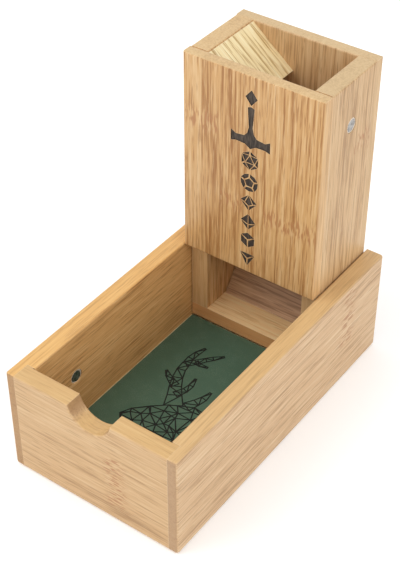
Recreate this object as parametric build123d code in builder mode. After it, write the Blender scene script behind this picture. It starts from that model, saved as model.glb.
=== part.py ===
from build123d import *
import math
import os

# Folding dice tower of bamboo boards. A tray, open at its rear end, carries a tower that turns on two
# hidden pins: upright for rolling dice, or lying in the tray with its top towards the finger notch.
# Origin on the table under the middle of the tray, +Y towards the rear, +Z up, millimetres.
# The tower is drawn upright.

# Tray
tray_width = 100.0
tray_length = 181.0
tray_height = 62.3
tray_wall = 10.0
corner_tongue = 5.2  # what a side wall keeps outside the end of the front wall
base_thickness = 8.6
mat_thickness = 1.0
mat_margin = 1.0  # bare floor left beside and in front of the mat
notch_radius = 12.5
notch_rise = 2.0  # centre of the finger notch above the rim
tray_corner_round = 1.5
tray_foot_round = 2.5
tray_rim_round = 1.0

# Tower
tower_wall = 10.0
panel_thickness = 6.8
foot_thickness = 8.0
ledge_depth = 17.0  # flat part of the foot board in front of the ramp
ramp_angle = 54.0
ramp_thickness = 5.0
baffle_angle = 39.0
baffle_thickness = 5.0
upper_baffle_reach = 24.0
upper_baffle_drop = 0.8  # below the mouth, at the wall
middle_baffle_reach = 28.0
middle_baffle_drop = 56.0
tower_edge_round = 1.0

# Magnets and pins
magnet_diameter = 8.0
magnet_thickness = 3.0
magnet_sunk = 0.3  # face of a magnet below the face of its wall
magnet_drop = 25.0  # magnet below the tower's top
magnet_edge = 0.3
pin_diameter = 5.0
pin_in_tray = 6.5
pin_in_tower = 7.0
pin_chamfer = 0.4

# Clearances
side_gap = 0.5  # tower to each side wall of the tray
lying_gap = 0.6  # lying tower above the mat
rim_drop = 0.7  # lying tower's back below the rim
nose_gap = 0.4  # front wall to the circle that the tower's nose sweeps
tail_inset = 0.8  # lying tower's foot in from the rear end
rear_inset = 1.8  # standing tower's back in from the rear end
foot_gap = 0.4  # standing tower's foot above the mat's level
heel_gap = 0.1  # standing tower's foot above the rear rail
mat_rear_gap = 0.5  # mat to the standing tower's foot board
swing_gap = 1.0  # floor board and rear rail to the circle that the tower's toe sweeps
ramp_end_gap = 0.5
magnet_fit = 0.05
pin_fit = 0.08
glued_fit = 0.02
hole_end_gap = 0.3

# Worked out from the above
rear = tray_length / 2
front = -rear
inner_front = front + tray_wall
half_inside = tray_width / 2 - tray_wall
mat_top = base_thickness + mat_thickness
tower_width = 2 * (half_inside - side_gap)
tower_depth = tray_height - rim_drop - mat_top - lying_gap
tower_foot = mat_top + foot_gap
tower_back = rear - rear_inset
tower_front = tower_back - tower_depth
chute_front = tower_front + panel_thickness
chute_back = tower_back - panel_thickness
chute_half = tower_width / 2 - tower_wall
ledge_top = tower_foot + foot_thickness

# The quarter turn that takes the standing tower to the lying one has one centre.
lying_foot = rear - tail_inset
lying_back = tray_height - rim_drop
pivot_y = (lying_foot + tower_foot - lying_back + tower_back) / 2
pivot_z = (lying_foot + tower_foot + lying_back - tower_back) / 2

# The tower is as tall as lets its nose, the top edge of the front panel, swing down past the front wall.
nose_radius = pivot_y - inner_front - nose_gap
tower_top = pivot_z + math.sqrt(nose_radius**2 - (pivot_y - tower_front) ** 2)

magnet_z = tower_top - magnet_drop
magnet_y = (tower_front + tower_back) / 2
tray_magnet_y = pivot_y - (magnet_z - pivot_z)
tray_magnet_z = pivot_z + (magnet_y - pivot_y)
pocket_depth = magnet_thickness + magnet_sunk

toe_radius = math.hypot(chute_front - pivot_y, tower_foot - pivot_z) + swing_gap
rail_top = tower_foot - heel_gap
rail_front = pivot_y + math.sqrt(toe_radius**2 - (pivot_z - rail_top) ** 2)

os.makedirs("parts", exist_ok=True)


def save(builder, name):
    """Label a finished piece and write it to its own file."""
    builder.part.label = name
    export_step(builder.part, f"parts/{name}.step")


def outward(y, z, x):
    """Plane square to X at (x, y, z), its normal pointing to +X."""
    return Plane(origin=(x, y, z), x_dir=(0, 1, 0), z_dir=(1, 0, 0))


# Tray side walls. A rabbet at the front takes the end of the front wall. The inner face has a magnet pocket and
# a blind hole for the pivot pin.
with BuildPart() as tray_right_wall:
    with BuildSketch(Plane.XY):
        with Locations((half_inside + tray_wall / 2, 0)):
            Rectangle(tray_wall, tray_length)
    extrude(amount=tray_height)
    outer_edges = tray_right_wall.faces().sort_by(Axis.X)[-1].edges()
    fillet(outer_edges.filter_by(Axis.Z), radius=tray_corner_round)
    foot_edges = tray_right_wall.faces().sort_by(Axis.Z)[0].edges()
    inner_foot_edge = foot_edges.filter_by(Axis.Y).sort_by(Axis.X)[0]
    rear_foot_edge = foot_edges.filter_by(Axis.X).sort_by(Axis.Y)[-1]
    fillet(foot_edges - [inner_foot_edge, rear_foot_edge], radius=tray_foot_round)
    fillet(tray_right_wall.faces().sort_by(Axis.Z)[-1].edges(), radius=tray_rim_round)
    with BuildSketch(Plane.XY):
        with Locations((half_inside, front)):
            Rectangle(tray_wall - corner_tongue, tray_wall, align=(Align.MIN, Align.MIN))
    extrude(amount=tray_height, mode=Mode.SUBTRACT)
    with BuildSketch(outward(tray_magnet_y, tray_magnet_z, half_inside)):
        Circle(magnet_diameter / 2 + magnet_fit)
    extrude(amount=pocket_depth, mode=Mode.SUBTRACT)
    with BuildSketch(outward(pivot_y, pivot_z, half_inside)):
        Circle(pin_diameter / 2 + pin_fit)
    extrude(amount=pin_in_tray + hole_end_gap, mode=Mode.SUBTRACT)
save(tray_right_wall, "tray_right_wall")

with BuildPart() as tray_left_wall:
    add(tray_right_wall.part)
    mirror(about=Plane.YZ, mode=Mode.REPLACE)
save(tray_left_wall, "tray_left_wall")

# Tray front wall, let into the side walls, with the finger notch in its rim
front_wall_half = tray_width / 2 - corner_tongue
with BuildPart() as tray_front_wall:
    with BuildSketch(Plane.XZ.offset(-inner_front)):
        Rectangle(2 * front_wall_half, tray_height, align=(Align.CENTER, Align.MIN))
        with Locations((0, tray_height + notch_rise)):
            Circle(notch_radius, mode=Mode.SUBTRACT)
    extrude(amount=tray_wall)
    front_face = tray_front_wall.faces().sort_by(Axis.Y)[0]
    fillet(front_face.edges().sort_by(Axis.Z)[0], radius=tray_foot_round)
    rim_edges = tray_front_wall.edges().filter_by(Axis.X).group_by(Axis.Z)[-1]
    fillet(rim_edges + tray_front_wall.edges().filter_by(GeomType.CIRCLE).group_by(SortBy.RADIUS)[-1],
           radius=tray_rim_round)
    # The inner rim stays square where the wall is let into the side walls.
    let_in = front_wall_half - half_inside - tray_rim_round
    let_in_middle = front_wall_half - let_in / 2
    with BuildSketch(Plane.XY.offset(tray_height - tray_rim_round)):
        with Locations((-let_in_middle, inner_front), (let_in_middle, inner_front)):
            Rectangle(let_in, tray_rim_round, align=(Align.CENTER, Align.MAX))
    extrude(amount=tray_rim_round)
save(tray_front_wall, "tray_front_wall")

# Tray floor board, with a cove across it for the tower's toe to swing through
with BuildPart() as tray_base:
    with BuildSketch(Plane.YZ.offset(-half_inside)):
        with Locations((inner_front, 0)):
            Rectangle(rail_front - inner_front, base_thickness, align=(Align.MIN, Align.MIN))
        with Locations((pivot_y, pivot_z)):
            Circle(toe_radius, mode=Mode.SUBTRACT)
    extrude(amount=2 * half_inside)
save(tray_base, "tray_base")

with BuildPart() as tray_rear_rail:
    with BuildSketch(Plane.XY):
        with Locations((0, rail_front)):
            Rectangle(2 * half_inside, rear - rail_front, align=(Align.CENTER, Align.MIN))
    extrude(amount=rail_top)
    rail_rear_edges = tray_rear_rail.faces().sort_by(Axis.Y)[-1].edges()
    fillet(rail_rear_edges.filter_by(Axis.X), radius=tray_rim_round)
save(tray_rear_rail, "tray_rear_rail")

mat_front = inner_front + mat_margin
mat_rear = chute_front - mat_rear_gap
with BuildPart() as tray_mat:
    with BuildSketch(Plane.XY.offset(base_thickness)):
        with Locations((0, mat_front)):
            Rectangle(2 * (half_inside - mat_margin), mat_rear - mat_front, align=(Align.CENTER, Align.MIN))
    extrude(amount=mat_thickness)
save(tray_mat, "tray_mat")

# Tower side walls, between the panels, standing on the foot board
with BuildPart() as tower_right_wall:
    with BuildSketch(Plane.XY.offset(ledge_top)):
        with Locations((chute_half, chute_front)):
            Rectangle(tower_wall, chute_back - chute_front, align=(Align.MIN, Align.MIN))
    extrude(amount=tower_top - ledge_top)
    top_edges = tower_right_wall.faces().sort_by(Axis.Z)[-1].edges()
    fillet(top_edges.filter_by(Axis.Y), radius=tower_edge_round)
    with BuildSketch(outward(magnet_y, magnet_z, tower_width / 2 - pocket_depth)):
        Circle(magnet_diameter / 2 + magnet_fit)
    extrude(amount=pocket_depth, mode=Mode.SUBTRACT)
    with BuildSketch(outward(pivot_y, pivot_z, tower_width / 2 - pin_in_tower - hole_end_gap)):
        Circle(pin_diameter / 2 + glued_fit)
    extrude(amount=pin_in_tower + hole_end_gap, mode=Mode.SUBTRACT)
save(tower_right_wall, "tower_right_wall")

with BuildPart() as tower_left_wall:
    add(tower_right_wall.part)
    mirror(about=Plane.YZ, mode=Mode.REPLACE)
save(tower_left_wall, "tower_left_wall")

# Tower panels, which cover the edges of the side walls. The front one ends level with the tray's rim.
with BuildPart() as tower_front_panel:
    with BuildSketch(Plane.XY.offset(tray_height)):
        with Locations((0, tower_front)):
            Rectangle(tower_width, panel_thickness, align=(Align.CENTER, Align.MIN))
    extrude(amount=tower_top - tray_height)
    front_edges = tower_front_panel.faces().sort_by(Axis.Y)[0].edges()
    fillet(front_edges + tower_front_panel.faces().sort_by(Axis.Y)[-1].edges().sort_by(Axis.Z)[-1],
           radius=tower_edge_round)
save(tower_front_panel, "tower_front_panel")

with BuildPart() as tower_back_panel:
    with BuildSketch(Plane.XY.offset(tower_foot)):
        with Locations((0, tower_back)):
            Rectangle(tower_width, panel_thickness, align=(Align.CENTER, Align.MAX))
    extrude(amount=tower_top - tower_foot)
    back_edges = tower_back_panel.faces().sort_by(Axis.Y)[-1].edges()
    fillet(back_edges + tower_back_panel.faces().sort_by(Axis.Y)[0].edges().sort_by(Axis.Z)[-1],
           radius=tower_edge_round)
save(tower_back_panel, "tower_back_panel")

with BuildPart() as tower_foot_board:
    with BuildSketch(Plane.XY.offset(tower_foot)):
        with Locations((0, chute_front)):
            Rectangle(tower_width, chute_back - chute_front, align=(Align.CENTER, Align.MIN))
    extrude(amount=foot_thickness)
save(tower_foot_board, "tower_foot_board")

# Exit ramp: rises from the back of the ledge to the back panel
ramp_front = chute_front + ledge_depth
ramp_slope = math.radians(ramp_angle)
ramp_rise = (chute_back - ramp_front) * math.tan(ramp_slope)
with BuildPart() as exit_ramp:
    with BuildSketch(Plane.YZ.offset(-(chute_half - ramp_end_gap))):
        with BuildLine():
            Polyline(
                (ramp_front, ledge_top),
                (chute_back, ledge_top + ramp_rise),
                (chute_back, ledge_top + ramp_rise - ramp_thickness / math.cos(ramp_slope)),
                (ramp_front + ramp_thickness / math.sin(ramp_slope), ledge_top),
                close=True,
            )
        make_face()
    extrude(amount=2 * (chute_half - ramp_end_gap))
save(exit_ramp, "exit_ramp")

# Baffles: one slopes down from each side wall, square at its free end
baffle_slope = math.radians(baffle_angle)
for name, side, reach, drop in (
    ("upper_baffle", -1, upper_baffle_reach, upper_baffle_drop),
    ("middle_baffle", 1, middle_baffle_reach, middle_baffle_drop),
):
    wall_z = tower_top - drop
    tip_x = chute_half - reach
    tip_z = wall_z - reach * math.tan(baffle_slope)
    with BuildPart() as baffle:
        with BuildSketch(Plane.XZ.offset(-chute_back)):
            with BuildLine():
                Polyline(
                    (side * chute_half, wall_z),
                    (side * tip_x, tip_z),
                    (side * (tip_x + baffle_thickness * math.sin(baffle_slope)),
                     tip_z - baffle_thickness * math.cos(baffle_slope)),
                    (side * chute_half, wall_z - baffle_thickness / math.cos(baffle_slope)),
                    close=True,
                )
            make_face()
        extrude(amount=chute_back - chute_front)
    save(baffle, name)

# Magnets in their pockets, and the pins that the tower turns on
for name, side in (("left", -1), ("right", 1)):
    tray_magnet_x = side * (half_inside + magnet_sunk + magnet_thickness / 2)
    tower_magnet_x = side * (tower_width / 2 - magnet_sunk - magnet_thickness / 2)
    for owner, x, y, z in (
        ("tray", tray_magnet_x, tray_magnet_y, tray_magnet_z),
        ("tower", tower_magnet_x, magnet_y, magnet_z),
    ):
        with BuildPart() as magnet:
            with BuildSketch(outward(y, z, x)):
                Circle(magnet_diameter / 2)
            extrude(amount=magnet_thickness / 2, both=True)
            fillet(magnet.edges().filter_by(GeomType.CIRCLE), radius=magnet_edge)
        save(magnet, f"{owner}_magnet_{name}")
    with BuildPart() as pivot_pin:
        with BuildSketch(outward(pivot_y, pivot_z, tower_width / 2 - pin_in_tower)):
            Circle(pin_diameter / 2)
        extrude(amount=pin_in_tower + side_gap + pin_in_tray)
        chamfer(pivot_pin.edges().filter_by(GeomType.CIRCLE), length=pin_chamfer)
        if side < 0:
            mirror(about=Plane.YZ, mode=Mode.REPLACE)
    save(pivot_pin, f"pivot_pin_{name}")

print(f"tower top {tower_top:.2f}, pivot y {pivot_y:.3f} z {pivot_z:.3f}, tray magnet y {tray_magnet_y:.3f}"
      f" z {tray_magnet_z:.3f}, rail front {rail_front:.2f}, toe radius {toe_radius:.2f}")
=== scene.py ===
import math
import random

import bmesh
import bpy
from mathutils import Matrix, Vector, geometry


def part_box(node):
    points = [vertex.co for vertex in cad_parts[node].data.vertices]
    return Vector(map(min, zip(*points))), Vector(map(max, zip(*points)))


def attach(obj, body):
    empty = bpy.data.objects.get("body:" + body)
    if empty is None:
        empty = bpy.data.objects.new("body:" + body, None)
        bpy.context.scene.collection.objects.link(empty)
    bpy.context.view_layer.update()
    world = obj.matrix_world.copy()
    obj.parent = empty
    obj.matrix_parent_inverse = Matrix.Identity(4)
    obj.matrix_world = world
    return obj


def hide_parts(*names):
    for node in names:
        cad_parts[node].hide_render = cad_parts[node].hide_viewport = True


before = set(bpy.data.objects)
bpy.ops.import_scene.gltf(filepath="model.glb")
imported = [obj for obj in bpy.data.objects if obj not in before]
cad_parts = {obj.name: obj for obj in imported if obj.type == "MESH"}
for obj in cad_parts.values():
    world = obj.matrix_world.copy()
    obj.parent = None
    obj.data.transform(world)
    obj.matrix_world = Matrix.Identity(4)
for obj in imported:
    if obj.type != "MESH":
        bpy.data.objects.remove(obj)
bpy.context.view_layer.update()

bl_info = {
    "name": "Folding Dice Tower",
    "version": (1, 0, 0),
    "blender": (4, 5, 0),
    "location": "3D View > Sidebar > Dice Tower",
    "description": "Bamboo boards, green mat, engraving and magnets for a folding dice tower",
    "category": "Object",
}

MM = 0.001
TRAY, TOWER = "tray", "tower"

# Grain of a board, as (width, length, detail, offset) of each noise, the first two in metres
BROAD = (0.012, 0.16, 1.0, 0.0)
STREAK = (0.0034, 0.085, 2.0, 3.0)
FIBRE = (0.0012, 0.040, 3.0, 7.0)
HAIR = (0.00085, 0.018, 2.0, 11.0)
NOISE_ROUGHNESS = 0.6
BROAD_SHARE, STREAK_SHARE, FIBRE_SHARE, STRIP_SHARE = 0.34, 0.48, 1.25, 0.16  # in a board's tone
DARK_HAIR, LIGHT_HAIR, SEAM_DARKNESS = 0.75, 0.60, 0.30
SEED_STEP, STRIP_SHIFT_ACROSS, STRIP_SHIFT_ALONG = 0.137, 0.31, 0.53  # keep two boards or strips from matching
SEAM = (0.488, 0.499)  # where a seam begins and is darkest, in strip widths from the strip's middle
TURNED = (0.6, 0.9)  # part of a face's normal along an axis, from which the face counts as facing that way
EDGE_PALENESS, END_PALENESS = 0.40, 0.60  # how far a board's edges and ends lose the streaks of its face
BOARD_ROUGHNESS = (0.50, 0.38)

# Stem joints, in metres
JOINT_BAND = (0.0020, 0.0085)  # half the band's length: full up to the first, gone by the second
JOINT_SIDE = (-0.0012, 0.0004)  # how the band fades out at the side of its strip
JOINT_WOBBLE, WOBBLE_NOISE = 0.010, (0.005, 0.02)
FLECK = (0.0010, 0.0060, 1.0, 5.0)
JOINT_LIGHT, JOINT_DARK, JOINT_SUNK = 0.40, 0.90, 0.2  # strengths of the fibres, and their depth

# A painted highlight along sharp edges: pale colour laid where rounded edges catch the light
EDGE_HIGHLIGHT_AMOUNT = 0.35
EDGE_HIGHLIGHT_COLOUR = (0.96, 0.80, 0.56, 1.0)
PEBBLE_SIZE = 0.0009
PIN_STEEL = (0.50, 0.50, 0.52)
NICKEL = (0.46, 0.44, 0.42)


# ---------------------------------------------------------------------------------------------------------
# Settings


def colour(name, description, default):
    """A colour property, written as linear red, green and blue."""
    return bpy.props.FloatVectorProperty(
        name=name, description=description, default=default, size=3, min=0.0, max=1.0, subtype="COLOR")


def length(name, description, default):
    """A length property in metres."""
    return bpy.props.FloatProperty(
        name=name, description=description, default=default, min=0.0, precision=5, unit="LENGTH")


def number(name, description, default):
    return bpy.props.FloatProperty(name=name, description=description, default=default)


class BambooSettings(bpy.types.PropertyGroup):
    """Colours and sizes of the bamboo boards."""

    tower_dark: colour("Tower dark", "Dark fibres of the tower's panels", (0.37, 0.165, 0.048))
    tower_honey: colour("Tower honey", "Body colour of the tower's panels", (0.645, 0.375, 0.153))
    tower_pale: colour("Tower pale", "Pale streaks of the tower's panels", (0.76, 0.52, 0.27))
    tray_dark: colour("Tray dark", "Dark fibres of the tray's boards", (0.42, 0.245, 0.115))
    tray_honey: colour("Tray honey", "Body colour of the tray's boards", (0.650, 0.420, 0.222))
    tray_pale: colour("Tray pale", "Pale streaks of the tray's boards", (0.74, 0.53, 0.31))
    side_dark: colour("Side dark", "Dark fibres of the plain outer boards", (0.41, 0.232, 0.10))
    side_honey: colour("Side honey", "Body colour of the plain outer boards", (0.63, 0.40, 0.196))
    side_pale: colour("Side pale", "Pale streaks of the plain outer boards", (0.715, 0.50, 0.272))
    inner_dark: colour("Inner dark", "Dark fibres of the boards inside", (0.40, 0.185, 0.055))
    inner_honey: colour("Inner honey", "Body colour of the boards inside", (0.72, 0.410, 0.155))
    inner_pale: colour("Inner pale", "Pale streaks of the boards inside", (0.84, 0.55, 0.25))
    white_dark: colour("White dark", "Dark fibres of the unsteamed boards", (0.46, 0.285, 0.095))
    white_honey: colour("White body", "Body colour of the unsteamed boards", (0.90, 0.735, 0.405))
    white_pale: colour("White pale", "Pale streaks of the unsteamed boards", (0.97, 0.87, 0.58))
    # Foot colours hold painted light: brighter than the other boards, standing for light falling into the exit
    # under the front panel
    foot_dark: colour("Foot dark", "Dark fibres of the tower's foot board", (0.80, 0.50, 0.22))
    foot_honey: colour("Foot honey", "Body colour of the tower's foot board", (1.0, 0.67, 0.33))
    foot_pale: colour("Foot pale", "Pale streaks of the tower's foot board", (1.0, 0.79, 0.46))
    # Ramp colours are painted shade: darker than the other boards, standing for the shadow the front panel
    # casts on the exit ramp
    ramp_dark: colour("Ramp dark", "Dark fibres of the exit ramp", (0.29, 0.150, 0.070))
    ramp_honey: colour("Ramp honey", "Body colour of the exit ramp", (0.48, 0.275, 0.140))
    ramp_pale: colour("Ramp pale", "Pale streaks of the exit ramp", (0.60, 0.375, 0.210))
    tray_edge: colour("Tray edges", "Tint of the tray's long narrow faces", (1.0, 0.95, 0.78))
    tray_end: colour("Tray ends", "Tint of the tray's cut ends", (0.66, 0.580, 0.52))
    left_edge: colour("Left wall edges", "Tint of the tray's left wall's rim", (1.0, 0.95, 0.78))
    left_end: colour("Left wall ends", "Tint of the tray's left wall's cut ends", (0.56, 0.500, 0.475))
    # The foot's front tint darkens its front, so only the top of the foot board keeps the painted light
    foot_edge: colour("Foot edges", "Tint of the foot board's front", (0.74, 0.530, 0.40))
    foot_end: colour("Foot ends", "Tint of the foot board's cut ends", (0.56, 0.520, 0.50))
    tower_edge: colour("Tower edges", "Tint of the tower's long narrow faces", (1.0, 0.99, 0.97))
    tower_end: colour("Tower ends", "Tint of the tower's cut ends", (0.94, 0.98, 0.98))
    joint: colour("Stem joints", "Broken fibres of the stem joints", (0.45, 0.205, 0.080))
    strip_width: length("Strip width", "Width of the strips glued into a board", 0.0225)
    # edge_radius sets the width of the painted highlight along the boards' edges
    edge_radius: length("Edge highlight", "Width of the paler, rubbed edges", 0.0007)


class MatSettings(bpy.types.PropertyGroup):
    """The green mat and the drawing cut into it."""

    green: colour("Green", "Body colour of the mat", (0.076, 0.158, 0.103))
    light_green: colour("Light green", "Rubbed high spots of the mat", (0.112, 0.204, 0.142))
    line: colour("Line", "Colour of the cut lines", (0.010, 0.012, 0.010))
    line_width: length("Line width", "Width of the cut lines", 0.0007)
    line_depth: length("Line depth", "Depth of the cut lines", 0.00025)
    edge_round: length("Edge round", "Rounding of the mat's upper edge", 0.0003)


class EngravingSettings(bpy.types.PropertyGroup):
    """The burnt ornament on the tower's front."""

    burnt: colour("Burnt", "Colour of the engraved wood", (0.050, 0.036, 0.026))
    depth: length("Depth", "Depth of the engraving", 0.0004)
    ridge: length("Ridge", "Bare ridge left between two facets", 0.00045)


class StageSettings(bpy.types.PropertyGroup):
    """Camera, floor and light."""

    azimuth: number("Azimuth", "Camera's turn round the object, in degrees", 35.79)
    elevation: number("Elevation", "Camera's height above the horizon, in degrees", 39.74)
    distance: length("Distance", "Camera to the point it looks at", 0.6513)
    lens: number("Lens", "Focal length in millimetres on a 36 mm frame", 84.3)
    sky: number("Sky", "Strength of the even light from all round", 0.88)
    key: number("Key lamp", "Power of the large soft lamp in watts", 11.0)
    floor: colour("Floor", "Colour of the floor", (0.92, 0.92, 0.92))


SETTINGS = {
    "tower_bamboo": BambooSettings,
    "tower_mat": MatSettings,
    "tower_engraving": EngravingSettings,
    "tower_stage": StageSettings,
}


# ---------------------------------------------------------------------------------------------------------
# Node trees


def add_node(tree, kind, values=(), **settings):
    """A new node. values maps a socket's name or number to a constant or to the output that feeds it."""
    node = tree.nodes.new(kind)
    for key, value in settings.items():
        setattr(node, key, value)
    for key, value in dict(values).items():
        if isinstance(value, bpy.types.NodeSocket):
            tree.links.new(value, node.inputs[key])
        else:
            node.inputs[key].default_value = value
    return node


def maths(tree, operation, *values):
    return add_node(tree, "ShaderNodeMath", enumerate(values), operation=operation).outputs[0]


def smooth(tree, value, low, high, to_low=0.0, to_high=1.0):
    """value taken smoothly from low..high to to_low..to_high."""
    return add_node(tree, "ShaderNodeMapRange",
                    {0: value, 1: low, 2: high, 3: to_low, 4: to_high},
                    interpolation_type="SMOOTHSTEP").outputs[0]


def blend(tree, factor, first, second, mode="MIX"):
    """A colour mix."""
    node = add_node(tree, "ShaderNodeMix", data_type="RGBA", blend_type=mode)
    for socket, value in zip((node.inputs[0], node.inputs[6], node.inputs[7]), (factor, first, second)):
        if isinstance(value, bpy.types.NodeSocket):
            tree.links.new(value, socket)
        else:
            socket.default_value = value
    return node.outputs[2]


def noise(tree, vector, across, along, detail=2.0, offset=0.0):
    """Noise whose features are across wide in X and Y and along long in Z, in metres."""
    place = add_node(tree, "ShaderNodeMapping",
                     {"Vector": vector, "Location": (offset, offset * 1.7, offset * 0.6),
                      "Scale": (1 / across, 1 / across, 1 / along)})
    return add_node(tree, "ShaderNodeTexNoise",
                    {"Vector": place.outputs[0], "Scale": 1.0, "Detail": detail,
                     "Roughness": NOISE_ROUGHNESS}).outputs[0]


def about_zero(tree, value, span):
    """value, which lies about 0.5, moved to lie about 0 and stretched by span."""
    return maths(tree, "MULTIPLY", maths(tree, "SUBTRACT", value, 0.5), span)


def new_group(name, inputs, outputs):
    """A shader node group with its input and output nodes. Sockets are (name, kind, default)."""
    tree = bpy.data.node_groups.new(name, "ShaderNodeTree")
    for label, kind, *default in inputs:
        socket = tree.interface.new_socket(label, in_out="INPUT", socket_type="NodeSocket" + kind)
        if default:
            socket.default_value = default[0]
    for label, kind in outputs:
        tree.interface.new_socket(label, in_out="OUTPUT", socket_type="NodeSocket" + kind)
    return tree, tree.nodes.new("NodeGroupInput").outputs, tree.nodes.new("NodeGroupOutput").inputs


def bamboo_group():
    """Board bamboo. Position and Facing have X across the board's face, Y through it, Z along the grain."""
    tree, given, result = new_group(
        "Bamboo board",
        [("Position", "Vector"), ("Facing", "Vector"), ("Honey", "Color", (0.6, 0.36, 0.16, 1)),
         ("Pale", "Color", (0.7, 0.48, 0.26, 1)), ("Dark", "Color", (0.4, 0.2, 0.07, 1)),
         ("Edge Tint", "Color", (1, 1, 1, 1)), ("End Tint", "Color", (1, 1, 1, 1)),
         ("Strip Width", "Float", 0.02), ("Contrast", "Float", 1.0), ("Seed", "Float", 0.0)],
        [("Color", "Color"), ("Roughness", "Float"), ("Height", "Float")])
    apart = add_node(tree, "ShaderNodeSeparateXYZ", {0: given["Position"]}).outputs
    shift = maths(tree, "MULTIPLY", given["Seed"], SEED_STEP)
    place = maths(tree, "DIVIDE", maths(tree, "ADD", apart[0], shift), given["Strip Width"])
    strip = maths(tree, "FLOOR", place)
    chance = add_node(tree, "ShaderNodeTexWhiteNoise", {"W": maths(tree, "ADD", strip, given["Seed"])},
                      noise_dimensions="1D").outputs[0]
    shifted = add_node(tree, "ShaderNodeCombineXYZ",
                       {0: maths(tree, "ADD", apart[0], maths(tree, "MULTIPLY", chance, STRIP_SHIFT_ACROSS)),
                        1: maths(tree, "ADD", apart[1], shift),
                        2: maths(tree, "ADD", apart[2], maths(tree, "MULTIPLY", chance, STRIP_SHIFT_ALONG)),
                        }).outputs[0]
    broad, streak, fibre, hair = (noise(tree, shifted, *sizes) for sizes in (BROAD, STREAK, FIBRE, HAIR))
    value = 0.0
    for part, share in ((broad, BROAD_SHARE), (streak, STREAK_SHARE), (fibre, FIBRE_SHARE),
                        (chance, STRIP_SHARE)):
        value = maths(tree, "ADD", value, about_zero(tree, part, share))
    value = maths(tree, "ADD", maths(tree, "MULTIPLY", value, given["Contrast"]), 0.5)
    tone = blend(tree, smooth(tree, value, 0.20, 0.50), given["Dark"], given["Honey"])
    tone = blend(tree, smooth(tree, value, 0.50, 0.80), tone, given["Pale"])
    dark_hair = maths(tree, "MULTIPLY", smooth(tree, hair, 0.55, 0.66, 0.0, DARK_HAIR), given["Contrast"])
    tone = blend(tree, dark_hair, tone, given["Dark"])
    light_hair = maths(tree, "MULTIPLY", smooth(tree, hair, 0.34, 0.45, LIGHT_HAIR, 0.0), given["Contrast"])
    tone = blend(tree, light_hair, tone, given["Pale"])
    seam_distance = maths(tree, "ABSOLUTE", maths(tree, "SUBTRACT", maths(tree, "FRACT", place), 0.5))
    seam = smooth(tree, seam_distance, *SEAM, 0.0, SEAM_DARKNESS)
    tone = blend(tree, seam, tone, given["Dark"])
    facing = add_node(tree, "ShaderNodeSeparateXYZ", {0: given["Facing"]}).outputs
    edge_face = smooth(tree, maths(tree, "ABSOLUTE", facing[0]), *TURNED)
    end_face = smooth(tree, maths(tree, "ABSOLUTE", facing[2]), *TURNED)
    edge_tone = blend(tree, EDGE_PALENESS, tone, given["Pale"])
    edge_tone = blend(tree, 1.0, edge_tone, given["Edge Tint"], "MULTIPLY")
    end_tone = blend(tree, END_PALENESS, tone, given["Pale"])
    end_tone = blend(tree, 1.0, end_tone, given["End Tint"], "MULTIPLY")
    tone = blend(tree, edge_face, tone, edge_tone)
    tone = blend(tree, end_face, tone, end_tone)
    tree.links.new(tone, result["Color"])
    tree.links.new(smooth(tree, fibre, 0.2, 0.8, *BOARD_ROUGHNESS), result["Roughness"])
    height = maths(tree, "SUBTRACT", maths(tree, "MULTIPLY", fibre, 0.6), dark_hair)
    tree.links.new(maths(tree, "SUBTRACT", height, seam), result["Height"])
    return tree


def joint_group():
    """The short band of broken fibres where a bamboo stem had a joint, across part of a board."""
    tree, given, result = new_group(
        "Stem joint",
        [("Position", "Vector"), ("Across", "Float"), ("Half Width", "Float", 0.01), ("Along", "Float"),
         ("Tilt", "Float")],
        [("Light", "Float"), ("Dark", "Float")])
    apart = add_node(tree, "ShaderNodeSeparateXYZ", {0: given["Position"]}).outputs
    aside = maths(tree, "SUBTRACT", apart[0], given["Across"])
    inside = smooth(tree, maths(tree, "SUBTRACT", maths(tree, "ABSOLUTE", aside), given["Half Width"]),
                    *JOINT_SIDE, 1.0, 0.0)
    wobble = about_zero(tree, noise(tree, given["Position"], *WOBBLE_NOISE), JOINT_WOBBLE)
    along = maths(tree, "SUBTRACT", maths(tree, "ADD", apart[2], wobble), given["Along"])
    slant = maths(tree, "MULTIPLY", aside, given["Tilt"])
    along = maths(tree, "ABSOLUTE", maths(tree, "SUBTRACT", along, slant))
    band = maths(tree, "MULTIPLY", smooth(tree, along, *JOINT_BAND, 1.0, 0.0), inside)
    fleck = noise(tree, given["Position"], *FLECK)
    tree.links.new(maths(tree, "MULTIPLY", band, smooth(tree, fleck, 0.54, 0.64)), result["Light"])
    tree.links.new(maths(tree, "MULTIPLY", band, smooth(tree, fleck, 0.40, 0.50, 1.0, 0.0)), result["Dark"])
    return tree


def edge_highlight_group():
    """Where a surface bends sharply within Radius: the mask of the painted edge highlight."""
    tree, given, result = new_group("Edge highlight", [("Radius", "Float", 0.0005)], [("Mask", "Float")])
    rounded = add_node(tree, "ShaderNodeBevel", {"Radius": given["Radius"]}, samples=4).outputs[0]
    plain = add_node(tree, "ShaderNodeNewGeometry").outputs["Normal"]
    bend = add_node(tree, "ShaderNodeVectorMath", {0: rounded, 1: plain},
                    operation="DOT_PRODUCT").outputs["Value"]
    tree.links.new(smooth(tree, bend, 0.80, 0.995, 1.0, 0.0), result["Mask"])
    return tree


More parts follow.
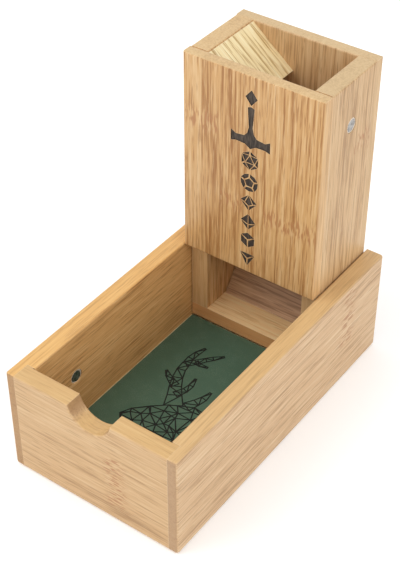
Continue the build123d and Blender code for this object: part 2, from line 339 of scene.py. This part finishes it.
def pebble_group():
    """Fine pebbled grain of coated cloth."""
    tree, given, result = new_group("Pebble grain", [("Position", "Vector"), ("Size", "Float", 0.0008)],
                                    [("Height", "Float"), ("Fleck", "Float")])
    scaled = add_node(tree, "ShaderNodeVectorMath", {0: given["Position"], 1: given["Size"]},
                      operation="DIVIDE").outputs[0]
    cells = add_node(tree, "ShaderNodeTexVoronoi", {"Vector": scaled, "Scale": 1.0},
                     feature="DISTANCE_TO_EDGE").outputs[0]
    pebble = smooth(tree, cells, 0.0, 0.35)
    cloud = add_node(tree, "ShaderNodeTexNoise", {"Vector": scaled, "Scale": 0.12, "Detail": 3.0}).outputs[0]
    tree.links.new(maths(tree, "ADD", pebble, maths(tree, "MULTIPLY", cloud, 0.6)), result["Height"])
    tree.links.new(maths(tree, "MULTIPLY", smooth(tree, cloud, 0.35, 0.70), pebble), result["Fleck"])
    return tree


GROUP_MAKERS = {"board": bamboo_group, "joint": joint_group, "edge": edge_highlight_group, "grain": pebble_group}
GROUPS = {}


def use_group(tree, name, values):
    """Outputs of one use of a shared group, which is made the first time."""
    if name not in GROUPS:
        GROUPS[name] = GROUP_MAKERS[name]()
    return add_node(tree, "ShaderNodeGroup", values, node_tree=GROUPS[name]).outputs


def new_material(name):
    """A material with its tree, its Principled shader and the coordinates that stay with the object."""
    material = bpy.data.materials.new(name)
    material.use_nodes = True
    tree = material.node_tree
    shader = tree.nodes["Principled BSDF"]
    return material, tree, shader, add_node(tree, "ShaderNodeTexCoord").outputs


def opaque(rgb):
    return (*rgb, 1.0)


def reordered(tree, vector, order):
    """The vector with its parts in another order, such as "zxy"."""
    apart = add_node(tree, "ShaderNodeSeparateXYZ", {0: vector}).outputs
    parts = {i: apart["xyz".index(axis)] for i, axis in enumerate(order)}
    return add_node(tree, "ShaderNodeCombineXYZ", parts).outputs[0]


def bamboo(name, tint, family, order, seed, joints=(), slope=None, contrast=1.0):
    """Material of one board. tint names the tints of its edges and ends, family its colours, and order the
    axes across, through and along it. Each of joints is (across, half width, along, tilt) of a stem joint,
    and slope turns the grain about an axis."""
    given = bpy.context.scene.tower_bamboo
    material, tree, shader, at = new_material(name)
    position, facing = at["Object"], at["Normal"]
    if slope:
        turned = []
        for vector in (position, facing):
            turned.append(add_node(tree, "ShaderNodeVectorRotate", {"Vector": vector, "Angle": slope[1]},
                                   rotation_type=slope[0]).outputs[0])
        position, facing = turned
    position, facing = reordered(tree, position, order), reordered(tree, facing, order)
    dark, honey, pale = (opaque(getattr(given, f"{family}_{tone}")) for tone in ("dark", "honey", "pale"))
    board = use_group(tree, "board", {
        "Position": position, "Facing": facing, "Honey": honey, "Pale": pale, "Dark": dark,
        "Edge Tint": opaque(getattr(given, f"{tint}_edge")),
        "End Tint": opaque(getattr(given, f"{tint}_end")),
        "Strip Width": given.strip_width, "Contrast": contrast, "Seed": seed})
    tone, height = board["Color"], board["Height"]
    for across, half_width, along, tilt in joints:
        joint = use_group(tree, "joint", {"Position": position, "Across": across, "Half Width": half_width,
                                          "Along": along, "Tilt": tilt})
        tone = blend(tree, maths(tree, "MULTIPLY", joint["Light"], JOINT_LIGHT), tone, pale)
        tone = blend(tree, maths(tree, "MULTIPLY", joint["Dark"], JOINT_DARK), tone, opaque(given.joint))
        height = maths(tree, "SUBTRACT", height, maths(tree, "MULTIPLY", joint["Dark"], JOINT_SUNK))
    # Painted highlight along the board's sharp edges, pale where they would catch the light
    edge = use_group(tree, "edge", {"Radius": given.edge_radius})["Mask"]
    rounded_and_highlit = blend(tree, 0.5, pale, EDGE_HIGHLIGHT_COLOUR)
    tone = blend(tree, maths(tree, "MULTIPLY", edge, EDGE_HIGHLIGHT_AMOUNT), tone, rounded_and_highlit)
    tree.links.new(tone, shader.inputs["Base Color"])
    tree.links.new(board["Roughness"], shader.inputs["Roughness"])
    bump = add_node(tree, "ShaderNodeBump", {"Height": height, "Strength": 0.35, "Distance": 0.00012})
    tree.links.new(bump.outputs[0], shader.inputs["Normal"])
    return material


def burnt_wood(name):
    """Floor and sides of the engraving: charred wood with its grain still showing."""
    given = bpy.context.scene.tower_engraving
    material, tree, shader, at = new_material(name)
    grain = noise(tree, at["Object"], 0.0008, 0.006, 3.0)
    burnt = Vector(given.burnt)
    tone = blend(tree, smooth(tree, grain, 0.35, 0.70), opaque(burnt * 0.6), opaque(burnt * 1.9))
    tree.links.new(tone, shader.inputs["Base Color"])
    tree.links.new(smooth(tree, grain, 0.3, 0.7, 0.75, 0.60), shader.inputs["Roughness"])
    bump = add_node(tree, "ShaderNodeBump", {"Height": grain, "Strength": 0.4, "Distance": 0.00015})
    tree.links.new(bump.outputs[0], shader.inputs["Normal"])
    return material


def coated_cloth(name, low, high, roughness):
    """Material of the mat, or of its cut lines."""
    material, tree, shader, at = new_material(name)
    grain = use_group(tree, "grain", {"Position": at["Object"], "Size": PEBBLE_SIZE})
    tree.links.new(blend(tree, grain["Fleck"], opaque(low), opaque(high)), shader.inputs["Base Color"])
    shine = smooth(tree, grain["Fleck"], 0.0, 1.0, roughness, roughness - 0.1)
    tree.links.new(shine, shader.inputs["Roughness"])
    bump = add_node(tree, "ShaderNodeBump",
                    {"Height": grain["Height"], "Strength": 0.45, "Distance": 0.00012})
    tree.links.new(bump.outputs[0], shader.inputs["Normal"])
    return material


def metal(name, rgb, roughness, scratch, ringed_at=None):
    """Bright metal with faint turning marks and smudges, whose marks are scratch wide in metres. A disc that
    faces along X, centred at the given point, has a pale ring painted round its rim: a painted highlight, not
    metal."""
    material, tree, shader, at = new_material(name)
    marks = noise(tree, reordered(tree, at["Object"], "yzx"), scratch, scratch * 20, 2.0)
    smudge = noise(tree, at["Object"], 0.002, 0.002, 2.0, 4.0)
    tone = blend(tree, smooth(tree, smudge, 0.38, 0.62), opaque(Vector(rgb) * 0.55), opaque(rgb))
    # A pale, non-metal ring painted round the disc's rim: a painted highlight where the rim catches the light
    if ringed_at:
        arm = add_node(tree, "ShaderNodeVectorMath", {0: at["Object"], 1: ringed_at},
                       operation="SUBTRACT").outputs[0]
        flat = add_node(tree, "ShaderNodeVectorMath", {0: arm, 1: (0.0, 1.0, 1.0)},
                        operation="MULTIPLY").outputs[0]
        radius = add_node(tree, "ShaderNodeVectorMath", {0: flat}, operation="LENGTH").outputs["Value"]
        ragged = maths(tree, "ADD", radius, about_zero(tree, smudge, 0.002))
        rim_highlight = smooth(tree, ragged, RIM_HIGHLIGHT_RADIUS - RIM_HIGHLIGHT_SOFTNESS, RIM_HIGHLIGHT_RADIUS + RIM_HIGHLIGHT_SOFTNESS)
        tone = blend(tree, rim_highlight, tone, RIM_HIGHLIGHT_COLOUR)
        tree.links.new(maths(tree, "SUBTRACT", 1.0, rim_highlight), shader.inputs["Metallic"])
    else:
        shader.inputs["Metallic"].default_value = 1.0
    tree.links.new(tone, shader.inputs["Base Color"])
    dulled = smooth(tree, smudge, 0.3, 0.7, roughness, roughness + 0.1)
    dulled = maths(tree, "ADD", smooth(tree, marks, 0.3, 0.7, 0.0, 0.15), dulled)
    tree.links.new(dulled, shader.inputs["Roughness"])
    bump = add_node(tree, "ShaderNodeBump", {"Height": marks, "Strength": 0.15, "Distance": 0.00003})
    tree.links.new(bump.outputs[0], shader.inputs["Normal"])
    return material


# ---------------------------------------------------------------------------------------------------------
# Meshes


def new_object(name, mesh):
    made = bpy.data.objects.new(name, mesh)
    bpy.context.scene.collection.objects.link(made)
    return made


def mesh_from(shape, name, sharp_degrees=30):
    """A mesh from a bmesh, smooth but for its sharp edges. Frees the bmesh."""
    bmesh.ops.recalc_face_normals(shape, faces=shape.faces)
    mesh = bpy.data.meshes.new(name)
    shape.to_mesh(mesh)
    shape.free()
    mesh.shade_smooth()
    mesh.set_sharp_from_angle(angle=math.radians(sharp_degrees))
    return mesh


def add_box(shape, low, high):
    """Adds a closed box to a bmesh and returns its vertices."""
    corners = bmesh.ops.create_cube(shape, size=1.0)["verts"]
    for corner in corners:
        corner.co = Vector(a + (b - a) * (part + 0.5) for a, b, part in zip(low, high, corner.co))
    return corners


def add_prism(shape, outline, place, bottom, top):
    """Adds a closed prism. outline is a list of 2-D points, and place(u, v, w) is a point of the prism."""
    rings = [[shape.verts.new(place(u, v, w)) for u, v in outline] for w in (bottom, top)]
    shape.faces.new(rings[0])
    shape.faces.new(reversed(rings[1]))
    for i in range(len(outline)):
        j = (i + 1) % len(outline)
        shape.faces.new((rings[0][j], rings[0][i], rings[1][i], rings[1][j]))


def cut(target, cutter_mesh, sharp_degrees=30):
    """Takes the cutter's solids out of target. The new faces keep the cutter's material."""
    cutter = new_object("cutter", cutter_mesh)
    modifier = target.modifiers.new("cut", "BOOLEAN")
    modifier.object = cutter
    modifier.solver = "EXACT"
    modifier.use_self = True
    modifier.material_mode = "TRANSFER"
    bpy.context.view_layer.update()
    evaluated = target.evaluated_get(bpy.context.evaluated_depsgraph_get())
    result = bpy.data.meshes.new_from_object(evaluated)
    target.modifiers.clear()
    bpy.data.objects.remove(cutter)
    if len(result.polygons) <= len(target.data.polygons):
        raise RuntimeError(f"nothing was cut into {target.name}")
    result.set_sharp_from_angle(angle=math.radians(sharp_degrees))
    target.data = result


def paint(node, material):
    """Gives a node of the frame one material, all over."""
    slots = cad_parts[node].data.materials
    slots.clear()
    slots.append(material)


# ---------------------------------------------------------------------------------------------------------
# The ornament on the front: a plain pommel, stem and cross-bar over a column of regular solids


def ring(sides, radius, turn=0.0, wide=1.0):
    """Corners of a regular polygon. turn is in degrees from straight up."""
    angles = (math.radians(turn + 360 * i / sides) for i in range(sides))
    return [(wide * radius * math.sin(a), radius * math.cos(a)) for a in angles]


def fan(outer, centre=(0.0, 0.0)):
    return [[outer[i], outer[(i + 1) % len(outer)], centre] for i in range(len(outer))]


def twenty_sided(radius):
    outer, inner = ring(6, radius), ring(3, 0.56 * radius)
    facets = [inner]
    for i in range(3):
        corner, left, right = inner[i], outer[(2 * i - 1) % 6], outer[(2 * i + 1) % 6]
        facets += [[corner, left, outer[2 * i]], [corner, outer[2 * i], right]]
        facets.append([corner, right, inner[(i + 1) % 3]])
    return facets


def twelve_sided(radius):
    outer, inner = ring(10, radius), ring(5, 0.56 * radius)
    facets = [inner]
    for i in range(5):
        j = (i + 1) % 5
        facets.append([inner[i], outer[2 * i], outer[2 * i + 1], outer[(2 * i + 2) % 10], inner[j]])
    return facets


def ten_sided(radius):
    top, bottom = (0.0, 0.95 * radius), (0.0, -0.95 * radius)
    left, right = (-radius, 0.12 * radius), (radius, 0.12 * radius)
    inner_left, inner_right = (-0.5 * radius, -0.1 * radius), (0.5 * radius, -0.1 * radius)
    low = (0.0, -0.42 * radius)
    return [[top, inner_right, low, inner_left], [top, inner_left, left], [top, right, inner_right],
            [left, inner_left, low, bottom], [right, bottom, low, inner_right]]


def eight_sided(radius):
    outer = ring(4, radius, wide=0.95)
    belt = (0.0, -0.34 * radius)
    return [[outer[0], outer[1], belt], [outer[0], belt, outer[3]],
            [outer[1], outer[2], belt], [outer[2], outer[3], belt]]


def six_sided(radius):
    outer = ring(6, radius)
    return [[outer[i], outer[(i + 1) % 6], outer[(i + 2) % 6], (0.0, 0.0)] for i in (1, 3, 5)]


def four_sided(radius):
    return fan(ring(3, radius, turn=180.0), (0.0, -0.12 * radius))


def ornament(ridge):
    """Outlines in millimetres across and up the front panel, with a bare ridge between neighbours."""
    half_bar = [(1.9, 160.2), (1.7, 157.5), (1.1, 149.5), (1.9, 146.2), (3.6, 144.2), (8.4, 143.6),
                (11.2, 145.2), (11.2, 138.9), (8.4, 139.8), (3.2, 139.6)]
    outlines = [
        [(0.0, 170.0), (3.4, 165.8), (0.0, 161.6), (-3.4, 165.8)],
        [(0.0, 161.0), *half_bar, (0.0, 137.6), *((-x, y) for x, y in reversed(half_bar))],
    ]
    # Each solid's middle height and radius
    column = ((twenty_sided, 130.9, 5.6), (twelve_sided, 118.0, 5.5), (ten_sided, 106.0, 5.1),
              (eight_sided, 94.4, 5.0), (six_sided, 83.0, 4.9), (four_sided, 71.8, 5.4))
    for solid, height, radius in column:
        for facet in solid(radius):
            middle = Vector(sum(part) / len(facet) for part in zip(*facet))
            shrunk = []
            for point in facet:
                arm = Vector(point) - middle
                point = middle + arm * max(0.2, 1 - ridge / MM / arm.length)
                shrunk.append((point.x, point.y + height))
            outlines.append(shrunk)
    return outlines


PANEL_ROUND = 1.0 * MM


class DICETOWER_OT_front_panel(bpy.types.Operator):
    """Make the tower's front panel with its burnt engraving"""

    bl_idname = "dicetower.front_panel"
    bl_label = "Engraved Front Panel"

    def execute(self, context):
        given = context.scene.tower_engraving
        low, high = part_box("tower_front_panel")
        shape = bmesh.new()
        add_box(shape, low, high)
        flat_edges = [edge for edge in shape.edges if abs(edge.verts[0].co.y - edge.verts[1].co.y) < MM]
        rounded_and_highlit = [edge for edge in flat_edges
                if all(v.co.y < low.y + MM for v in edge.verts)
                or all(v.co.z > high.z - MM for v in edge.verts)]
        bmesh.ops.bevel(shape, geom=rounded_and_highlit, offset=PANEL_ROUND, segments=4, profile=0.5, affect="EDGES")
        panel = new_object("engraved_front_panel", mesh_from(shape, "engraved_front_panel"))
        panel.data.materials.append(bamboo("Bamboo front panel", TOWER, "tower", "xyz", 3.0, FRONT_JOINTS))
        cutter = bmesh.new()
        for outline in ornament(given.ridge):
            add_prism(cutter, outline, lambda u, v, w: Vector((u * MM, w, v * MM)),
                      low.y - MM, low.y + given.depth)
        cutter_mesh = mesh_from(cutter, "engraving")
        cutter_mesh.materials.append(burnt_wood("Burnt bamboo"))
        cut(panel, cutter_mesh)
        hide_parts("tower_front_panel")
        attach(panel, TOWER)
        return {"FINISHED"}


# ---------------------------------------------------------------------------------------------------------
# The mat and its drawing: a bare tree on a rock, drawn as a net of triangles


def bough(path):
    """Triangles along a tapering bough. path is a list of (x, y, width)."""
    sides = []
    for i, (x, y, width) in enumerate(path):
        before, after = path[max(i - 1, 0)], path[min(i + 1, len(path) - 1)]
        run = Vector((after[0] - before[0], after[1] - before[1])).normalized()
        across = Vector((-run.y, run.x)) * width / 2
        sides.append((Vector((x, y)) + across, Vector((x, y)) - across))
    triangles = []
    for i, ((a, b), (c, d)) in enumerate(zip(sides, sides[1:])):
        triangles += [(a, b, c), (b, d, c)] if i % 2 else [(a, b, d), (a, d, c)]
    return triangles


NET_ROW = 0.87  # rows of a net's corners, in spacings
NET_SCATTER = 0.4
NET_STEP = (0.8, 1.35)  # least and most between two corners of a row


def net(outline, spacing, seed):
    """A net of triangles that fills an outline, with corners scattered about spacing apart."""
    chance = random.Random(seed)
    xs, ys = zip(*outline)
    points = [Vector(point) for point in outline]
    border = [(i, (i + 1) % len(outline)) for i in range(len(outline))]
    row = 0
    y = min(ys) + spacing / 2
    while y < max(ys):
        x = min(xs) + spacing * (0.3 if row % 2 else 0.8)
        while x < max(xs):
            aside, up = (chance.uniform(-NET_SCATTER, NET_SCATTER) for _ in range(2))
            points.append(Vector((x + aside * spacing, y + up * spacing)))
            x += spacing * chance.uniform(*NET_STEP)
        y += spacing * NET_ROW
        row += 1
    made = geometry.delaunay_2d_cdt(points, border, [tuple(range(len(outline)))], 1, 1e-5)
    return [tuple(made[0][i] for i in face) for face in made[2]]


def drawing():
    """Triangles of the whole drawing, in millimetres on the mat."""
    rock = [(-24, -40), (-21, -34), (-14, -27), (-7, -21), (-3, -19), (5, -15), (13, -16), (24, -24),
            (33, -38), (30, -58), (17, -69), (3, -66), (-3, -57), (-11, -50), (-19, -46)]
    triangles = net(rock, spacing=5.6, seed=5)
    for path in (
        [(-5, -20, 10), (-9, -13.5, 7.6), (-12.5, -8, 6.4), (-15.5, -2, 5.4), (-17.5, 4, 4.6), (-18, 9, 4.2)],
        [(-18, 9, 4.2), (-18.6, 14, 3.4), (-18, 19, 2.8), (-16.5, 24.5, 1.2)],
        [(-18, 9, 4.0), (-14.5, 13, 3.4), (-11, 17.5, 2.8), (-8.5, 20.5, 2.6), (-4.5, 25, 1.0)],
        [(-13, -7.5, 4.4), (-17, -5.5, 3.4), (-20.5, -3.5, 2.6), (-23.5, -1, 1.0)],
        [(-9, -13, 4.2), (-6.5, -7.5, 3.2), (-6, -3, 2.6), (-7, 2.5, 1.0)],
        [(-14.5, 13, 3.0), (-11.5, 12.4, 2.2), (-7, 13, 1.0)],
        [(1, -17, 6), (3.5, -11.5, 4.4), (5, -7, 3.4), (5.5, -1.5, 1.2)],
    ):
        triangles += bough(path)
    return triangles


class DICETOWER_OT_mat(bpy.types.Operator):
    """Make the green mat and cut the drawing into it"""

    bl_idname = "dicetower.mat"
    bl_label = "Mat"

    def execute(self, context):
        given = context.scene.tower_mat
        low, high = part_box("tray_mat")
        shape = bmesh.new()
        add_box(shape, low, high)
        upper = [edge for edge in shape.edges
                 if all(v.co.z > high.z - given.edge_round for v in edge.verts)]
        bmesh.ops.bevel(shape, geom=upper, offset=given.edge_round, segments=3, profile=0.5, affect="EDGES")
        mat = new_object("green_mat", mesh_from(shape, "green_mat"))
        mat.data.materials.append(coated_cloth("Green coated cloth", given.green, given.light_green, 0.62))
        cutter = bmesh.new()
        half = given.line_width / 2 / MM
        drawn = set()
        for triangle in drawing():
            for a, b in zip(triangle, (*triangle[1:], triangle[0])):
                key = tuple(sorted((tuple(round(v, 2) for v in a), tuple(round(v, 2) for v in b))))
                if key in drawn:
                    continue
                drawn.add(key)
                run = (b - a).normalized()
                side = Vector((-run.y, run.x)) * half
                a, b = a - run * half, b + run * half
                add_prism(cutter, [a + side, a - side, b - side, b + side],
                          lambda u, v, w: Vector((u * MM, v * MM, w)),
                          high.z - given.line_depth, high.z + MM)
        cutter_mesh = mesh_from(cutter, "drawing")
        cutter_mesh.materials.append(coated_cloth("Cut line", given.line, Vector(given.line) * 1.6, 0.8))
        cut(mat, cutter_mesh)
        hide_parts("tray_mat")
        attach(mat, TRAY)
        return {"FINISHED"}


# ---------------------------------------------------------------------------------------------------------
# Boards, magnets and pins, whose shapes are the frame's own

# Stem joints as (across, half width, along, tilt), in metres in each board's own directions
FRONT_JOINTS = ((-0.0285, 0.0105, 0.144, 0.0), (-0.0105, 0.0070, 0.103, 0.0), (0.0235, 0.0155, 0.101, 0.0))
RIGHT_JOINTS = ((0.075, 0.008, 0.138, 0.0),)
FRONT_WALL_JOINTS = ((0.026, 0.017, 0.0145, 0.0),)
SIDE_WALL_JOINTS = ((0.043, 0.018, 0.057, 0.0),)
# The painted highlight ring round each magnet's rim: its inner radius and softness in metres, and its colour
RIM_HIGHLIGHT_RADIUS, RIM_HIGHLIGHT_SOFTNESS = 0.0032, 0.0002
RIM_HIGHLIGHT_COLOUR = (0.72, 0.62, 0.50, 1.0)
RAMP_TURN = ("X_AXIS", math.radians(-54.0))
BAFFLE_TURN = math.radians(39.0)


class DICETOWER_OT_tray_boards(bpy.types.Operator):
    """Give the tray's boards their bamboo"""

    bl_idname = "dicetower.tray_boards"
    bl_label = "Tray Boards"

    def execute(self, context):
        for node, tint, family, order, seed, joints, contrast in (
            ("tray_right_wall", TRAY, "tray", "zxy", 1.0, SIDE_WALL_JOINTS, 0.9),
            ("tray_left_wall", "left", "inner", "zxy", 2.0, (), 0.9),
            ("tray_front_wall", TRAY, "side", "zyx", 4.0, FRONT_WALL_JOINTS, 0.85),
            ("tray_base", TRAY, "white", "xzy", 5.0, (), 1.0),
            ("tray_rear_rail", TRAY, "tray", "zyx", 6.0, (), 1.0),
        ):
            paint(node, bamboo(f"Bamboo {node}", tint, family, order, seed, joints, contrast=contrast))
        return {"FINISHED"}


class DICETOWER_OT_tower_boards(bpy.types.Operator):
    """Give the tower's boards their bamboo"""

    bl_idname = "dicetower.tower_boards"
    bl_label = "Tower Boards"

    def execute(self, context):
        for node, tint, family, order, seed, joints, slope in (
            ("tower_back_panel", TOWER, "side", "xyz", 7.0, (), None),
            ("tower_left_wall", TOWER, "tower", "yxz", 8.0, (), None),
            ("tower_right_wall", TOWER, "side", "yxz", 9.0, RIGHT_JOINTS, None),
            # The foot board's colours carry painted light, brighter than plain bamboo
            ("tower_foot_board", "foot", "foot", "yzx", 10.0, (), None),
            # The exit ramp's colours carry painted shade from the front panel above it
            ("exit_ramp", TOWER, "ramp", "yzx", 11.0, (), RAMP_TURN),
            ("upper_baffle", TOWER, "white", "yzx", 12.0, (), ("Y_AXIS", -BAFFLE_TURN)),
            ("middle_baffle", TOWER, "white", "yzx", 13.0, (), ("Y_AXIS", BAFFLE_TURN)),
        ):
            paint(node, bamboo(f"Bamboo {node}", tint, family, order, seed, joints, slope))
        return {"FINISHED"}


class DICETOWER_OT_metalwork(bpy.types.Operator):
    """Give the magnets and pivot pins their metals"""

    bl_idname = "dicetower.metalwork"
    bl_label = "Magnets and Pins"

    def execute(self, context):
        steel = metal("Pin steel", PIN_STEEL, roughness=0.35, scratch=0.0002)
        for side in ("left", "right"):
            paint(f"pivot_pin_{side}", steel)
        for body in (TRAY, TOWER):
            low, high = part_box(f"{body}_magnet_left")
            nickel = metal(f"Nickel {body}", NICKEL, roughness=0.24, scratch=0.0001, ringed_at=(low + high) / 2)
            paint(f"{body}_magnet_left", nickel)
            paint(f"{body}_magnet_right", nickel)
        return {"FINISHED"}


# ---------------------------------------------------------------------------------------------------------
# Stage


LOOKED_AT = Vector((-0.0025, 0.0, 0.0775))
LIT_AT = Vector((0.0, 0.0, 0.06))
# Each lamp as (name, place, share of the key lamp's power, side), in metres
LAMPS = (("key lamp", (-0.9, -1.0, 1.6), 1.0, 1.2), ("fill lamp", (1.5, -0.5, 1.1), 0.55, 1.4))
FLOOR_GLOW = 0.22


def seen_by_eye(tree):
    """1 where the eye sees the surface straight or in a mirror or through glass, else 0."""
    rays = add_node(tree, "ShaderNodeLightPath").outputs
    seen = maths(tree, "MAXIMUM", rays["Is Camera Ray"], rays["Is Glossy Ray"])
    return maths(tree, "MAXIMUM", seen, rays["Is Transmission Ray"])


class DICETOWER_OT_stage(bpy.types.Operator):
    """Set up the camera, the floor and the light"""

    bl_idname = "dicetower.stage"
    bl_label = "Stage"

    def execute(self, context):
        given = context.scene.tower_stage
        scene = context.scene
        scene.view_settings.view_transform = "Standard"

        turn, rise = math.radians(given.azimuth), math.radians(given.elevation)
        back = Vector((math.sin(turn) * math.cos(rise), -math.cos(turn) * math.cos(rise), math.sin(rise)))
        eye = bpy.data.objects.new("camera", bpy.data.cameras.new("camera"))
        scene.collection.objects.link(eye)
        eye.data.lens = given.lens
        eye.data.sensor_width = 36.0
        eye.data.clip_start, eye.data.clip_end = 0.01, 20.0
        eye.location = LOOKED_AT + back * given.distance
        eye.rotation_euler = (math.pi / 2 - rise, 0.0, turn)
        scene.camera = eye

        world = bpy.data.worlds.new("even light")
        scene.world = world
        world.use_nodes = True
        tree = world.node_tree
        sky = tree.nodes["Background"]
        sky.inputs["Color"].default_value = (1.0, 1.0, 1.0, 1.0)
        rays = add_node(tree, "ShaderNodeLightPath").outputs
        seen = maths(tree, "MAXIMUM", rays["Is Camera Ray"], rays["Is Transmission Ray"])
        strength = add_node(tree, "ShaderNodeMapRange", {0: seen, 3: given.sky, 4: 1.0}).outputs[0]
        tree.links.new(strength, sky.inputs["Strength"])

        floor_shape = bmesh.new()
        bmesh.ops.create_circle(floor_shape, cap_ends=True, segments=96, radius=3.0)
        floor = new_object("floor", mesh_from(floor_shape, "floor"))
        material, tree, shader, _ = new_material("Pale floor")
        shader.inputs["Base Color"].default_value = opaque(given.floor)
        shader.inputs["Roughness"].default_value = 0.9
        shader.inputs["Specular IOR Level"].default_value = 0.0
        shader.inputs["Emission Color"].default_value = (1.0, 1.0, 1.0, 1.0)
        glow = maths(tree, "MULTIPLY", seen_by_eye(tree), FLOOR_GLOW)
        tree.links.new(glow, shader.inputs["Emission Strength"])
        floor.data.materials.append(material)

        for name, place, share, side in LAMPS:
            lamp = bpy.data.lights.new(name, "AREA")
            lamp.energy, lamp.size = given.key * share, side
            held = bpy.data.objects.new(name, lamp)
            scene.collection.objects.link(held)
            held.location = place
            held.rotation_euler = (LIT_AT - Vector(place)).to_track_quat("-Z", "Y").to_euler()
        return {"FINISHED"}


# ---------------------------------------------------------------------------------------------------------
# Panel and registration

STEPS = (DICETOWER_OT_stage, DICETOWER_OT_tray_boards, DICETOWER_OT_tower_boards, DICETOWER_OT_front_panel,
         DICETOWER_OT_mat, DICETOWER_OT_metalwork)


class DICETOWER_PT_panel(bpy.types.Panel):
    """Dice tower pieces and settings"""

    bl_idname = "DICETOWER_PT_panel"
    bl_label = "Dice Tower"
    bl_space_type = "VIEW_3D"
    bl_region_type = "UI"
    bl_category = "Dice Tower"

    def draw(self, context):
        for step in STEPS:
            self.layout.operator(step.bl_idname)
        for name, settings in SETTINGS.items():
            box = self.layout.box()
            for key in settings.__annotations__:
                box.prop(getattr(context.scene, name), key)


def register():
    for kind in (*SETTINGS.values(), *STEPS, DICETOWER_PT_panel):
        bpy.utils.register_class(kind)
    for name, settings in SETTINGS.items():
        setattr(bpy.types.Scene, name, bpy.props.PointerProperty(type=settings))


def unregister():
    for name in SETTINGS:
        delattr(bpy.types.Scene, name)
    for kind in (DICETOWER_PT_panel, *reversed(STEPS), *SETTINGS.values()):
        bpy.utils.unregister_class(kind)


def main():
    register()
    for step in STEPS:
        group, name = step.bl_idname.split(".")
        getattr(getattr(bpy.ops, group), name)()


if __name__ == "__main__":
    main()
